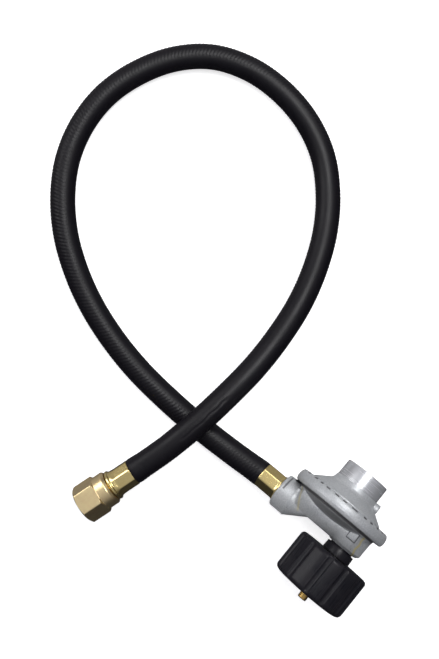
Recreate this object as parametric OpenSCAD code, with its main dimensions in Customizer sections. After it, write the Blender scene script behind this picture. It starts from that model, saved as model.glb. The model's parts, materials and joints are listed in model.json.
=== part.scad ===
// Low-pressure gas regulator with a hand-tightened cylinder nut, a rubber hose and a flare swivel nut.
// The regulator lies on its side on the edge of its round body, with the hose looped on the floor.

/* [Regulator body] */
// Outer radius of the rim that is rolled over the bonnet
rim_r = 32.7; // [31:0.1:34]
// Height of the rim above the diaphragm
rim_top = 4.1; // [3.6:0.1:4.6]
// Depth of the rim below the diaphragm
rim_drop = 3.3; // [2.8:0.1:3.8]
// Depth of the flat underside below the diaphragm
body_drop = 17.9; // [17.5:0.1:18.4]
// Half of the width of the arm under the bowl
arm_half = 9.8; // [9:0.1:10.4]
// Distance from the diaphragm axis to the inlet axis
inlet_offset = 15; // [14.5:0.1:15.5]
// Radius of the inlet boss
inlet_boss_r = 11.6; // [11:0.1:12]
// Depth of the outlet axis below the diaphragm
outlet_drop = 15.6; // [15:0.1:16]
// Radius of the outlet boss
outlet_boss_r = 11.2; // [10.8:0.1:11.6]
// Distance from the diaphragm axis to the outlet face
outlet_reach = 36; // [35:0.5:37]
// Angle by which the outlet points below the horizontal as the regulator lies
roll = 18; // [16:0.5:20]

/* [Bonnet and adjuster] */
// Radius of the spring tower
tower_r = 14.5; // [14.2:0.1:15]
// Height of the spring tower above the diaphragm
tower_top = 25.8; // [25.4:0.1:26.4]
// Radius of the threaded bore in the tower
tower_bore_r = 12.6; // [12.4:0.1:12.8]
// Pitch of the adjusting screw's thread
adjuster_pitch = 1.5; // [1:0.25:2]

/* [Cylinder connection] */
// Outer radius of the hand nut
nut_r = 24.2; // [23.5:0.1:25]
// Depth of the hand nut's back face below the diaphragm
nut_top = 25.3; // [25.2:0.1:25.6]
// Length of the hand nut
nut_length = 27.2; // [26.5:0.1:28]
// Number of grip flutes round the hand nut
flute_count = 12; // [10:1:14]
// Minor radius of the hand nut's trapezoidal thread
tank_thread_r = 14.56; // [14.4:0.01:14.8]
// Pitch of the hand nut's thread
tank_thread_pitch = 4.23; // [4:0.01:4.4]
// Radius of the nipple's probe
probe_r = 2.85; // [2.7:0.05:3]
// Depth of the probe's tip below the diaphragm
probe_tip = 57.4; // [57:0.1:58]

/* [Hose] */
// Outer diameter of the hose
hose_d = 16; // [15.6:0.1:16.4]
// Bore of the hose
hose_bore_d = 9.6; // [9:0.1:10]
// Outer radius of the ferrule at the regulator
ferrule_r = 8.6; // [8.5:0.05:8.9]
// Distance from the diaphragm axis to the mouth of the regulator's ferrule
ferrule_reach = 50; // [49:0.5:51]
// Outer radius of the ferrule at the flare end
flare_ferrule_r = 8.65; // [8.5:0.05:8.9]
// Length of the ferrule at the flare end
flare_ferrule_length = 15.5; // [15:0.1:16]

/* [Flare nut] */
// Width of the hexagon across its flats
flare_hex = 22.2; // [22:0.1:22.4]
// Minor radius of the flare nut's thread
flare_thread_r = 7.16; // [7.1:0.01:7.25]
// Length of the flare nut
flare_nut_length = 22; // [21.5:0.1:22.5]
// Slope of the flare fitting down to the floor, in degrees
flare_pitch = 7; // [6:0.5:8]

/* [Hidden] */
$fn = 96;

// Colours
CAST = "#9a9c9e";
BRASS = "#c8a050";
STEEL = "#b8babd";
BLACK_PLASTIC = "#1e1e22";
BLACK_RUBBER = "#262628";

// ---- Levels in the regulator's own frame: z is the tower's axis and x points out of the outlet ----
ledge_z = -0.5;              // ledge that the diaphragm is clamped on
diaphragm_t = 0.8;
plate_z = ledge_z + diaphragm_t;
plate_t = 1;
clamp_r = 29.6;              // bore that holds the diaphragm and the bonnet's flange
lip_z = 2.5;                 // underside of the rolled lip
lip_r = 25.4;                // inner radius of the rolled lip
bowl_r = 24.3;               // inner radius of the bowl
inlet_face = 18.7;           // depth of the inlet boss's end
inlet_thread_top = 11.3;
inlet_thread_r = 6.5;
nozzle_seat = 9.3;           // depth of the flat that the orifice nozzle sits on
nozzle_tip = 7.7;
outlet_thread_r = 8;
outlet_thread_start = 24;
passage_drop = 13.2;

// Lever: a strip that pivots between two lugs
lever_z = -4.6;
lever_t = 1.2;
lever_w = 5;
pivot_x = -9;
pin_r = 0.9;
pin_gap = 0.05;

// Nipple, in its own axis
shank_r = 6.2;
bushing_bottom = 31.3;
shoulder_r = 9.4;
shoulder_bottom = 34.4;
nose_r = 6.3;
seal_z = 42.5;
seal_r = 0.95;
chamber_r = 3.9;
chamber_top = 26;
chamber_bottom = 44;
nut_back = 5.2;              // thickness of the hand nut's back wall
nut_bottom = nut_top + nut_length;
bushing_r = 7.42;
bushing_gap = 0.08;

// Crimps: flats pressed round each ferrule
crimp_sides = 8;
hose_r = hose_d / 2;
hose_bore_r = hose_bore_d / 2;
squeezed_r = hose_r - 0.45;  // hose radius under the crimp

// Flare fitting, along its own axis from the mouth of its ferrule
flare_nut_start = flare_ferrule_length + 0.7;
flare_nut_end = flare_nut_start + flare_nut_length;
flare_wall = 3.8;            // thickness of the flare nut's back wall
flare_neck_r = 5.2;
flare_neck_gap = 0.08;
flare_thread_start = flare_nut_start + 11.3;

// ---- Where the regulator lies: its origin is under the middle of its own box ----
x_low = -probe_tip;
x_high = tower_top;
y_low = -inlet_offset * cos(roll) - nut_r;
y_high = ferrule_reach * cos(roll) + ferrule_r * sin(roll);
shift = [-(x_low + x_high) / 2, -(y_low + y_high) / 2, rim_r];

// Mouth of the flare end's ferrule, and the heading of its axis
flare_at = [-50, 105.3, 16.7];
flare_heading = 163.8;

// Route of the hose's middle: down from the regulator's ferrule, round on the floor, and over itself
route = [
    [0.2, 30.6, 20.9], [0.2, 41.7, 17.3], [-1.5, 66, 11.2], [-2.5, 91.5, 8.2], [-2, 116.5, 8],
    [0, 142, 8], [4.5, 166.5, 8], [12, 191, 8], [22.5, 213.5, 8], [36.5, 234.5, 8],
    [54.5, 252.5, 8], [75.5, 266, 8], [99.2, 273.4, 8], [124, 274.2, 8], [148.5, 267.7, 8],
    [170.5, 255.5, 8], [187.5, 237.5, 8], [197, 214, 8], [199, 189, 8], [194.5, 164, 8],
    [183.5, 141.5, 8], [166, 123, 9], [145.5, 109, 11], [122.5, 99, 14], [98.5, 92.5, 17.6],
    [73.5, 89.5, 21.2], [48.5, 89, 24], [23.5, 91, 25.3], [-1.5, 94.2, 24.4], [-26, 98.8, 20.9],
    [-50, 105.3, 16.7], [-62.5, 108.9, 15.2]
];

module on_regulator() {
    translate(shift)
        rotate([90 - roll, 0, 0])
            rotate([0, 90, 0])
                children();
}

// Local z runs up the inlet's axis
module on_inlet() {
    on_regulator()
        translate([-inlet_offset, 0, 0])
            children();
}

// Local z runs out along the outlet's axis
module on_outlet() {
    on_regulator()
        translate([0, 0, -outlet_drop])
            rotate([0, 90, 0])
                children();
}

// Local z runs out of the flare nut
module on_flare() {
    translate(flare_at)
        rotate([0, 90 + flare_pitch, flare_heading])
            children();
}

// ---- Shapes that repeat ----

// How far a spring's wire has climbed after t turns: its first and last turns lie closed
function climb(t, turns, wire_r, length) =
    let (closed = 2 * wire_r)
    t < 1 ? wire_r + closed * t
        : t > turns - 1 ? length - wire_r - closed * (turns - t)
        : wire_r + closed + (length - 2 * wire_r - 2 * closed) * (t - 1) / (turns - 2);

// A coil spring along z between two levels
module coil_spring(mean_r, wire_r, bottom, top, turns, sides = 8, steps = 18) {
    rings = turns * steps;
    points = [
        for (i = [0 : rings])
            let (z = bottom + climb(i / steps, turns, wire_r, top - bottom))
            for (k = [0 : sides - 1])
                let (a = 360 * k / sides)
                let (r = mean_r + wire_r * cos(a))
                [r * cos(360 * i / steps), r * sin(360 * i / steps), z + wire_r * sin(a)]
    ];
    faces = [
        for (i = [0 : rings - 1])
            for (k = [0 : sides - 1])
                let (n = (k + 1) % sides)
                [i * sides + k, (i + 1) * sides + k, (i + 1) * sides + n, i * sides + n],
        [for (k = [0 : sides - 1]) k],
        [for (k = [0 : sides - 1]) rings * sides + sides - 1 - k]
    ];
    polyhedron(points, faces, convexity = 8);
}

// A barbed tube along z that grips the inside of the hose
module barbs(start, end, root_r, tip_r, pitch = 3) {
    translate([0, 0, start])
        cylinder(r = root_r, h = end - start);
    for (z = [start + 1 : pitch : end - pitch + 0.5])
        translate([0, 0, z])
            cylinder(r1 = tip_r, r2 = root_r, h = pitch - 0.8);
}

// ---- Castings ----

module arm_section() {
    edge = 3;
    translate([-arm_half, -body_drop + edge])
        square([2 * arm_half, 9]);
    translate([-arm_half + edge, -body_drop])
        square([2 * (arm_half - edge), 2 * edge]);
    for (side = [-1, 1])
        translate([side * (arm_half - edge), -body_drop + edge])
            circle(r = edge);
}

// A slice of the arm, standing across x
module arm(from, to) {
    translate([from, 0, 0])
        rotate([90, 0, 90])
            linear_extrude(to - from)
                arm_section();
}

module bowl_outside() {
    rotate_extrude()
        polygon([
            [0, rim_top], [31.2, rim_top], [32.1, rim_top - 0.6], [rim_r, 0.8], [rim_r, -1.6],
            [31.6, -rim_drop], [27.6, -rim_drop], [27, -6], [20, -9], [12, -10.9], [0, -11.6]
        ]);
}

module bowl_inside() {
    rotate_extrude()
        polygon([
            [0, -9.3], [10, -9], [18, -7.2], [bowl_r, -4.4], [bowl_r, ledge_z], [clamp_r, ledge_z],
            [clamp_r, lip_z], [lip_r, lip_z], [lip_r, rim_top + 1], [0, rim_top + 1]
        ]);
}

module inlet_boss() {
    translate([-inlet_offset, 0, 0])
        rotate_extrude()
            polygon([
                [0, -5], [inlet_boss_r + 0.3, -5], [inlet_boss_r, -16.9], [9.2, -inlet_face],
                [0, -inlet_face]
            ]);
}

module outlet_boss() {
    bevel = 0.7;
    start = 25.4;
    translate([start, 0, -outlet_drop])
        rotate([0, 90, 0])
            cylinder(r = outlet_boss_r, h = outlet_reach - start - bevel);
    translate([outlet_reach - bevel, 0, -outlet_drop])
        rotate([0, 90, 0])
            cylinder(r1 = outlet_boss_r, r2 = outlet_boss_r - bevel, h = bevel);
    // the boss narrows into the arm
    hull() {
        translate([start, 0, -outlet_drop])
            rotate([0, 90, 0])
                cylinder(r = outlet_boss_r - 0.05, h = 0.2, $fn = 32);
        arm(12.6, 12.8);
    }
}

// Staking marks round the rolled lip
module staking_marks() {
    marks = 28;
    for (i = [0 : marks - 1])
        rotate([0, 0, 360 * i / marks])
            translate([lip_r + 0.9, 0, rim_top + 0.3])
                sphere(r = 1.1, $fn = 16);
}

module lever_lugs() {
    for (side = [-1, 1])
        translate([pivot_x, side * (lever_w / 2 + 1.5), 0])
            rotate([90, 0, 0])
                linear_extrude(2, center = true)
                    difference() {
                        translate([-2.2, -9.6])
                            square([4.4, 6.7]);
                        translate([0, lever_z])
                            circle(r = pin_r);
                    }
}

module lower_body() {
    color(CAST) on_regulator() {
        difference() {
            union() {
                bowl_outside();
                inlet_boss();
                outlet_boss();
                arm(-inlet_offset, 12.8);
                // cast pad on the inlet boss
                translate([-inlet_offset - 4, inlet_boss_r - 3, -11.8])
                    cube([6, 3.6, 5.3]);
            }
            bowl_inside();
            // inlet thread, the flat for the orifice nozzle and the nozzle's own hole
            translate([-inlet_offset, 0, -inlet_face - 1]) {
                cylinder(r = inlet_thread_r, h = inlet_face - inlet_thread_top + 1);
                cylinder(r = 3.5, h = inlet_face);
            }
            translate([-inlet_offset, 0, -nozzle_seat])
                cylinder(r = 5.4, h = 6);
            // outlet thread and the passage that rises into the bowl
            translate([outlet_thread_start, 0, -outlet_drop])
                rotate([0, 90, 0])
                    cylinder(r = outlet_thread_r, h = outlet_reach);
            translate([6.2, 0, -passage_drop])
                rotate([0, 90, 0])
                    cylinder(r = 2.8, h = 22);
            translate([8, 0, -passage_drop])
                cylinder(r = 2.6, h = 8);
            staking_marks();
        }
        lever_lugs();
    }
}

module bonnet() {
    vent_z = 12.3;
    color(CAST) on_regulator() difference() {
        union() {
            rotate_extrude()
                polygon([
                    [0, plate_z], [clamp_r - 0.1, plate_z], [clamp_r - 0.1, lip_z], [24.9, lip_z],
                    [24.9, 4.9], [24.4, 5.3], [16.4, 10.7], [15.5, 12], [15, 13.5], [14.8, 15],
                    [tower_r, 15.4], [tower_r, tower_top - 0.5], [tower_r - 0.5, tower_top],
                    [0, tower_top]
                ]);
            // vent boss on the side away from the outlet
            translate([-18, 0, vent_z])
                rotate([0, 90, 0])
                    cylinder(r = 3.2, h = 8);
        }
        rotate_extrude()
            polygon([
                [0, 0], [23, 0], [23, 3.2], [14, 9.4], [tower_bore_r, 10.8],
                [tower_bore_r, tower_top + 1], [0, tower_top + 1]
            ]);
        translate([-19, 0, vent_z])
            rotate([0, 90, 0])
                cylinder(r = 1.9, h = 10);
    }
}

module vent_screen() {
    color(BRASS) on_regulator()
        translate([-17, 0, 12.3])
            rotate([0, 90, 0])
                difference() {
                    cylinder(r = 1.9, h = 0.5);
                    for (i = [0 : 5])
                        rotate([0, 0, 60 * i])
                            translate([1.1, 0, -1])
                                cylinder(r = 0.35, h = 3, $fn = 16);
                }
}

// Plug that closes the tower, flush with its top, with a slot for a coin
module bonnet_cap() {
    thick = 1.6;
    color(CAST) on_regulator() difference() {
        translate([0, 0, tower_top - thick + 0.5])
            rotate_extrude()
                polygon([
                    [0, -0.5], [tower_bore_r, -0.5], [tower_bore_r, thick - 0.9],
                    [tower_bore_r - 0.4, thick - 0.5], [0, thick - 0.5]
                ]);
        translate([0, 0, tower_top])
            cube([16, 2, 1.6], center = true);
    }
}

// Threaded disc that sets the main spring, with a hexagonal socket
module adjusting_screw() {
    thick = 4;
    outer_r = tower_bore_r - 0.3;
    socket_r = 4.6;
    groove = 0.45;
    color(STEEL) on_regulator()
        translate([0, 0, 18.4])
            difference() {
                cylinder(r = outer_r, h = thick);
                translate([0, 0, 1.2])
                    cylinder(r = socket_r, h = thick, $fn = 6);
                for (i = [0 : 1])
                    translate([0, 0, thick / 2 + (i - 0.5) * adjuster_pitch])
                        rotate_extrude()
                            polygon([
                                [outer_r - groove, 0], [outer_r + 0.1, -groove - 0.1],
                                [outer_r + 0.1, groove + 0.1]
                            ]);
            }
}

module spring_seat() {
    color(STEEL) on_regulator()
        rotate_extrude()
            polygon([[0, 15.6], [7.6, 15.6], [7.9, 17.2], [11, 17.2], [11, 18.2], [0, 18.2]]);
}

module main_spring() {
    color(STEEL) on_regulator()
        coil_spring(9.2, 0.95, plate_z + plate_t + 0.05, 17.15, 6);
}

// ---- Diaphragm and relief ----

module diaphragm() {
    color(BLACK_RUBBER) on_regulator()
        rotate_extrude()
            difference() {
                union() {
                    translate([2.2, ledge_z])
                        square([clamp_r - 0.1 - 2.2, diaphragm_t]);
                    translate([21.1, ledge_z])
                        circle(r = 1.7);
                }
                translate([21.1, ledge_z])
                    circle(r = 0.9);
                translate([0, ledge_z - 3])
                    square([60, 3]);
            }
}

module diaphragm_plate() {
    color(STEEL) on_regulator()
        rotate_extrude()
            polygon([
                [2, plate_z], [18.6, plate_z], [18.6, plate_z + 1.9], [17.7, plate_z + 1.9],
                [17.7, plate_z + plate_t], [2, plate_z + plate_t]
            ]);
}

module relief_stem() {
    color(BRASS) on_regulator()
        rotate_extrude()
            polygon([
                [0, -6.9], [2.6, -6.9], [2.6, -5.65], [1.4, -5.65], [1.4, -3.55], [2.4, -3.55],
                [2.4, -1.8], [3.2, -1.3], [3.2, ledge_z], [1.5, ledge_z], [1.5, 9.9], [0, 9.9]
            ]);
}

module relief_spring() {
    color(STEEL) on_regulator()
        coil_spring(2.9, 0.35, plate_z + plate_t + 0.05, 8.55, 6, sides = 6, steps = 14);
}

module relief_retainer() {
    color(STEEL) on_regulator()
        translate([0, 0, 8.6])
            difference() {
                cylinder(r = 3.7, h = 1);
                translate([0, 0, -1])
                    cylinder(r = 1.5, h = 3);
            }
}

// ---- Lever and valve ----

module lever() {
    reach = 3.4;
    slot_half = 1.8;
    left = -inlet_offset - 3.4;
    color(STEEL) on_regulator() difference() {
        union() {
            translate([left, -lever_w / 2, lever_z - lever_t / 2])
                cube([reach - left, lever_w, lever_t]);
            translate([pivot_x, 0, lever_z])
                rotate([90, 0, 0])
                    cylinder(r = 1.6, h = lever_w, center = true);
        }
        translate([pivot_x, 0, lever_z])
            rotate([90, 0, 0])
                cylinder(r = pin_r + pin_gap, h = lever_w + 2, center = true);
        translate([-2, -slot_half, lever_z - 2])
            cube([8, 2 * slot_half, 4]);
    }
}

module lever_pin() {
    color(STEEL) on_regulator()
        translate([pivot_x, 0, lever_z])
            rotate([90, 0, 0])
                cylinder(r = pin_r, h = lever_w + 5, center = true);
}

module valve_disc() {
    color(BLACK_RUBBER) on_inlet()
        translate([0, 0, lever_z - lever_t / 2 - 1.3])
            cylinder(r = 2.4, h = 1.3);
}

module orifice_nozzle() {
    color(BRASS) on_inlet()
        rotate_extrude()
            polygon([
                [1.1, -inlet_thread_top], [3.5, -inlet_thread_top], [3.5, -nozzle_seat],
                [4.6, -nozzle_seat], [4.6, -8.5], [2.6, -8.5], [1.9, -nozzle_tip],
                [1.1, -nozzle_tip]
            ]);
}

// ---- Cylinder connection ----

module inlet_nipple() {
    groove = 1.1;
    color(BRASS) on_inlet()
        rotate_extrude()
            polygon([
                [3.2, -inlet_thread_top], [inlet_thread_r, -inlet_thread_top],
                [inlet_thread_r, -inlet_face], [shank_r, -inlet_face],
                [shank_r, -bushing_bottom - 0.1], [shoulder_r, -bushing_bottom - 0.1],
                [shoulder_r, -shoulder_bottom + 0.6], [shoulder_r - 0.6, -shoulder_bottom],
                [nose_r, -shoulder_bottom], [nose_r, -seal_z + groove], [5.4, -seal_z + groove],
                [5.4, -seal_z - groove], [nose_r, -seal_z - groove], [nose_r, -45.4],
                [probe_r + 0.4, -48.6], [probe_r, -49.2], [probe_r, -probe_tip + 0.6],
                [probe_r - 0.5, -probe_tip], [1.4, -probe_tip], [1.4, -chamber_bottom],
                [chamber_r, -chamber_bottom], [chamber_r, -chamber_top], [2.2, -chamber_top],
                [2.2, -24], [3.2, -22.6]
            ]);
}

module nose_seal() {
    color(BLACK_RUBBER) on_inlet()
        translate([0, 0, -seal_z])
            rotate_extrude()
                translate([5.4 + seal_r + 0.05, 0])
                    circle(r = seal_r, $fn = 32);
}

module thermal_bushing() {
    bore = shank_r + 0.05;
    color(BLACK_PLASTIC) on_inlet()
        rotate_extrude()
            polygon([
                [bore, -inlet_face], [7.7, -inlet_face], [7.7, -19.3], [9.1, -19.3], [9.5, -19.7],
                [9.5, -24.9], [bushing_r, -24.9], [bushing_r, -bushing_bottom],
                [bore, -bushing_bottom]
            ]);
}

module hand_nut() {
    flute_r = 2.3;
    flute_at = nut_r + 1.2;
    flute_turn = 10.5;
    groove_depth = 2.1;
    grooves = 3;
    color(BLACK_PLASTIC) on_inlet() difference() {
        rotate_extrude()
            polygon([
                [bushing_r + bushing_gap, -nut_top], [22, -nut_top], [23.1, -nut_top - 0.3],
                [23.9, -nut_top - 1.1], [nut_r, -nut_top - 2.2], [nut_r, -nut_bottom + 3],
                [23.8, -nut_bottom + 1.6], [22.8, -nut_bottom + 0.5], [21.4, -nut_bottom],
                [17.2, -nut_bottom], [tank_thread_r, -nut_bottom + 2.6],
                [tank_thread_r, -nut_top - nut_back], [bushing_r + bushing_gap, -nut_top - nut_back]
            ]);
        for (i = [0 : flute_count - 1])
            rotate([0, 0, 90 + roll + flute_turn + 360 * i / flute_count])
                translate([flute_at, 0, -nut_bottom - 1])
                    cylinder(r = flute_r, h = nut_length + 2, $fn = 32);
        // thread, cut as rings with sloping sides
        for (i = [0 : grooves - 1])
            translate([0, 0, -nut_bottom + 4.6 + i * tank_thread_pitch])
                rotate_extrude()
                    polygon([
                        [tank_thread_r - 1, -1.5], [tank_thread_r, -1.35],
                        [tank_thread_r + groove_depth, -0.8], [tank_thread_r + groove_depth, 0.8],
                        [tank_thread_r, 1.35], [tank_thread_r - 1, 1.5]
                    ]);
    }
}

module excess_flow_poppet() {
    color(BRASS) on_inlet()
        rotate_extrude()
            polygon([
                [0, -42.2], [3.4, -42.2], [3.4, -38], [1.9, -38], [1.9, -30], [2.6, -30],
                [2.6, -29], [1.1, -27.4], [0, -27.4]
            ]);
}

module excess_flow_spring() {
    color(STEEL) on_inlet()
        coil_spring(3.35, 0.3, -37.95, -chamber_top - 0.05, 7, sides = 6, steps = 14);
}

module poppet_cage() {
    color(BRASS) on_inlet()
        translate([0, 0, -chamber_bottom])
            difference() {
                cylinder(r = chamber_r, h = 1.5);
                translate([0, 0, -1])
                    cylinder(r = 1.6, h = 4);
            }
}

// ---- Hose and its fittings ----

// Sleeve pressed onto the hose, with its closed end up and flats crimped along most of it
module ferrule(outer_r, length, crimp_start, crimp_length, rim) {
    wall = 1.8;
    difference() {
        union() {
            rotate_extrude()
                polygon([
                    [0, 0], [outer_r - 0.3, 0], [outer_r, 0.4], [outer_r, crimp_start],
                    [0, crimp_start]
                ]);
            translate([0, 0, crimp_start])
                cylinder(r = outer_r, h = crimp_length, $fn = crimp_sides);
            translate([0, 0, crimp_start + crimp_length])
                cylinder(r = outer_r, h = length - crimp_start - crimp_length);
            if (rim > 0)
                translate([0, 0, length - wall])
                    cylinder(r = outer_r + rim, h = wall);
        }
        translate([0, 0, -1])
            cylinder(r = squeezed_r, h = length - wall + 1);
        translate([0, 0, -1])
            cylinder(r = 5.3, h = length + 2);
    }
}

module outlet_stem() {
    bore = 3.2;
    color(BRASS) on_outlet() difference() {
        union() {
            translate([0, 0, outlet_thread_start + 0.3])
                cylinder(r = outlet_thread_r, h = outlet_reach - outlet_thread_start - 0.3);
            translate([0, 0, outlet_reach])
                cylinder(r = 7.6, h = 0.5);
            barbs(outlet_reach + 0.5, ferrule_reach + 1, 4.5, 5.1);
        }
        cylinder(r = bore, h = 2 * ferrule_reach);
    }
}

module outlet_ferrule() {
    length = ferrule_reach - outlet_reach - 0.5;
    color(BRASS) on_outlet()
        translate([0, 0, ferrule_reach])
            rotate([180, 0, 23])
                ferrule(ferrule_r, length, 0.6, 11.5, 0);
}

module flare_ferrule() {
    color(BRASS) on_flare()
        rotate([0, 0, 18])
            ferrule(flare_ferrule_r, flare_ferrule_length, 0.6, 12.4, 1.1);
}

module flare_stem() {
    bore = 3.2;
    flange_r = 6.85;
    flange_start = flare_nut_start + flare_wall + 0.3;
    flange_end = flange_start + 6.4;
    color(BRASS) on_flare() difference() {
        union() {
            barbs(-1, flare_ferrule_length, 4.5, 5.1);
            translate([0, 0, flare_ferrule_length])
                cylinder(r = flare_neck_r, h = flange_start - flare_ferrule_length);
            translate([0, 0, flange_start])
                cylinder(r = flange_r, h = flange_end - flange_start);
        }
        translate([0, 0, -2])
            cylinder(r = bore, h = 2 * flange_end);
        // seat for the mating cone
        translate([0, 0, flange_end - 3])
            cylinder(r1 = bore, r2 = bore + 3.1, h = 3.1);
    }
}

module flare_nut() {
    hex_r = flare_hex / 2 / cos(30);
    collar_r = 11;
    collar_end = flare_nut_start + 7.6;
    hex_turn = 40;
    color(BRASS) on_flare() difference() {
        union() {
            rotate_extrude()
                polygon([
                    [0, flare_nut_start], [collar_r - 1.6, flare_nut_start],
                    [collar_r, flare_nut_start + 1.6], [collar_r, collar_end + 1],
                    [0, collar_end + 1]
                ]);
            intersection() {
                translate([0, 0, collar_end])
                    rotate([0, 0, hex_turn])
                        cylinder(r = hex_r, h = flare_nut_end - collar_end, $fn = 6);
                rotate_extrude()
                    polygon([
                        [0, collar_end], [flare_hex / 2, collar_end], [hex_r, collar_end + 1],
                        [hex_r, flare_nut_end - 1], [flare_hex / 2, flare_nut_end],
                        [0, flare_nut_end]
                    ]);
            }
        }
        translate([0, 0, flare_nut_start - 1])
            cylinder(r = flare_neck_r + flare_neck_gap, h = flare_wall + 2);
        translate([0, 0, flare_nut_start + flare_wall])
            cylinder(r = flare_thread_r + 0.4, h = flare_thread_start - flare_nut_start - flare_wall);
        translate([0, 0, flare_thread_start - 0.01])
            cylinder(r = flare_thread_r, h = flare_nut_length);
        translate([0, 0, flare_nut_end - 0.9])
            cylinder(r1 = flare_thread_r, r2 = flare_thread_r + 1, h = 1);
    }
}

// Tube swept along the route, with its bore
module hose() {
    sides = 12;
    rings = len(route);
    function heading(i) =
        let (v = route[min(rings - 1, i + 1)] - route[max(0, i - 1)])
        v / norm(v);
    function ring(i, r) =
        let (d = heading(i))
        let (side = cross([0, 0, 1], d) / norm(cross([0, 0, 1], d)))
        let (up = cross(d, side))
        [
            for (k = [0 : sides - 1])
                route[i] + r * (cos(360 * k / sides) * side + sin(360 * k / sides) * up)
        ];
    points = [
        for (r = [hose_r, hose_bore_r])
            for (i = [0 : rings - 1])
                each ring(i, r)
    ];
    bore = rings * sides;
    ends = (rings - 1) * sides;
    faces = [
        for (i = [0 : rings - 2])
            for (k = [0 : sides - 1])
                let (a = i * sides + k)
                let (b = i * sides + (k + 1) % sides)
                each [
                    [a, a + sides, b + sides, b],
                    [bore + a, bore + b, bore + b + sides, bore + a + sides]
                ],
        for (k = [0 : sides - 1])
            let (n = (k + 1) % sides)
            each [
                [k, n, bore + n, bore + k],
                [ends + n, ends + k, bore + ends + k, bore + ends + n]
            ]
    ];
    color(BLACK_RUBBER)
        polyhedron(points, faces, convexity = 12);
}

lower_body();
bonnet();
bonnet_cap();
adjusting_screw();
spring_seat();
main_spring();
diaphragm();
diaphragm_plate();
relief_stem();
relief_spring();
relief_retainer();
vent_screen();
lever();
lever_pin();
valve_disc();
orifice_nozzle();
inlet_nipple();
nose_seal();
thermal_bushing();
hand_nut();
excess_flow_poppet();
excess_flow_spring();
poppet_cage();
outlet_stem();
outlet_ferrule();
hose();
flare_ferrule();
flare_stem();
flare_nut();
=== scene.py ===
"""Looks of a low-pressure gas regulator with a looped rubber hose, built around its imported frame.

All lengths are in metres. On the regulator, z is the axis of the spring tower and x points out of
the outlet. On each round fitting, z is the fitting's own axis.
"""

import json
from math import atan2, cos, degrees, hypot, pi, radians, sin, sqrt

import bmesh
import bpy
from mathutils import Matrix, Vector


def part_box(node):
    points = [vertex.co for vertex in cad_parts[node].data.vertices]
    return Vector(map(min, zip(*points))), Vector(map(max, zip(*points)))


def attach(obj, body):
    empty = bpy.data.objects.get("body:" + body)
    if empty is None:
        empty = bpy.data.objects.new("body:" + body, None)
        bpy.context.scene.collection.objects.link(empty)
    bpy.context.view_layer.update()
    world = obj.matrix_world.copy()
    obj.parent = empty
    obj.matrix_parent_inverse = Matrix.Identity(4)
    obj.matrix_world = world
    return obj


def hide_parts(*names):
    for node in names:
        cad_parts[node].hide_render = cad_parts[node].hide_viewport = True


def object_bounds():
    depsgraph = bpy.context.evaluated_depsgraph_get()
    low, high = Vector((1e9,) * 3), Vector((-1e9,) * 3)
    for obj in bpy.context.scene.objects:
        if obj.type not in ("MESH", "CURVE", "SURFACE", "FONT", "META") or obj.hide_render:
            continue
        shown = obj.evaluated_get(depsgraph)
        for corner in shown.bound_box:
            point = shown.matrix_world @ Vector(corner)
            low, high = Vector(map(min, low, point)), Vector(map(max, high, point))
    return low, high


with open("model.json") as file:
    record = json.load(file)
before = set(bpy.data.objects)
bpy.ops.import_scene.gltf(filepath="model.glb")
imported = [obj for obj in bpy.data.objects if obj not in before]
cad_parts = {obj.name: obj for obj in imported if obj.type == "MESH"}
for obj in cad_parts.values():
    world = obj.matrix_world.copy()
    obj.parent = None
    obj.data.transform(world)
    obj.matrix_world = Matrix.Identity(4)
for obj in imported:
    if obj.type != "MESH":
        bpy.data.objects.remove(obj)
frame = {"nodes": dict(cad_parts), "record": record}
cad_low, cad_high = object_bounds()
nodes = frame["nodes"]

MM = 0.001
TINY = 1e-7

# ---- Camera: nearly straight down, with the picture turned so that the hose loops up and left ----

CAMERA_AT = (0.00705, 0.12078, 0.5828)
CAMERA_TILT = 4.6       # degrees away from straight down, towards +X
CAMERA_TURN = 50.1      # degrees from +X to the right of the picture
CAMERA_LENS = 49.2
CAMERA_SENSOR = 36


def camera_axes():
    """The right, up and forward directions of the picture."""
    tilt = radians(CAMERA_TILT)
    turn = radians(CAMERA_TURN)
    forward = Vector((sin(tilt), 0, -cos(tilt)))
    across = Vector((cos(tilt), 0, sin(tilt)))
    right = cos(turn) * across + sin(turn) * Vector((0, -1, 0))
    return right, right.cross(forward), forward


def add_camera():
    """The camera that sees the part as the photograph does."""
    right, up, forward = camera_axes()
    camera = bpy.data.objects.new("camera", bpy.data.cameras.new("camera"))
    bpy.context.scene.collection.objects.link(camera)
    camera.data.lens = CAMERA_LENS
    camera.data.sensor_width = CAMERA_SENSOR
    camera.data.clip_start = 0.01
    turned = Matrix((right, up, -forward)).transposed().to_4x4()
    camera.matrix_world = Matrix.Translation(CAMERA_AT) @ turned
    bpy.context.scene.camera = camera


add_camera()

# ---- Where the fittings are: the regulator's from its CAD nodes, the flare end's from the route ----

ROLL = 18                   # degrees that the outlet points below the horizontal
TOWER_TOP = 25.8 * MM       # height of the tower over the diaphragm
OUTLET_DROP = 15.6 * MM     # depth of the outlet's axis below the diaphragm
OUTLET_REACH = 36 * MM      # distance from the tower's axis to the outlet's face
FERRULE_REACH = 50 * MM     # and to the mouth of the outlet ferrule
FLARE_PITCH = 7             # degrees that the flare end points below the horizontal
FLARE_HEADING = 163.8       # degrees from +X to where it points, seen from above

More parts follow.
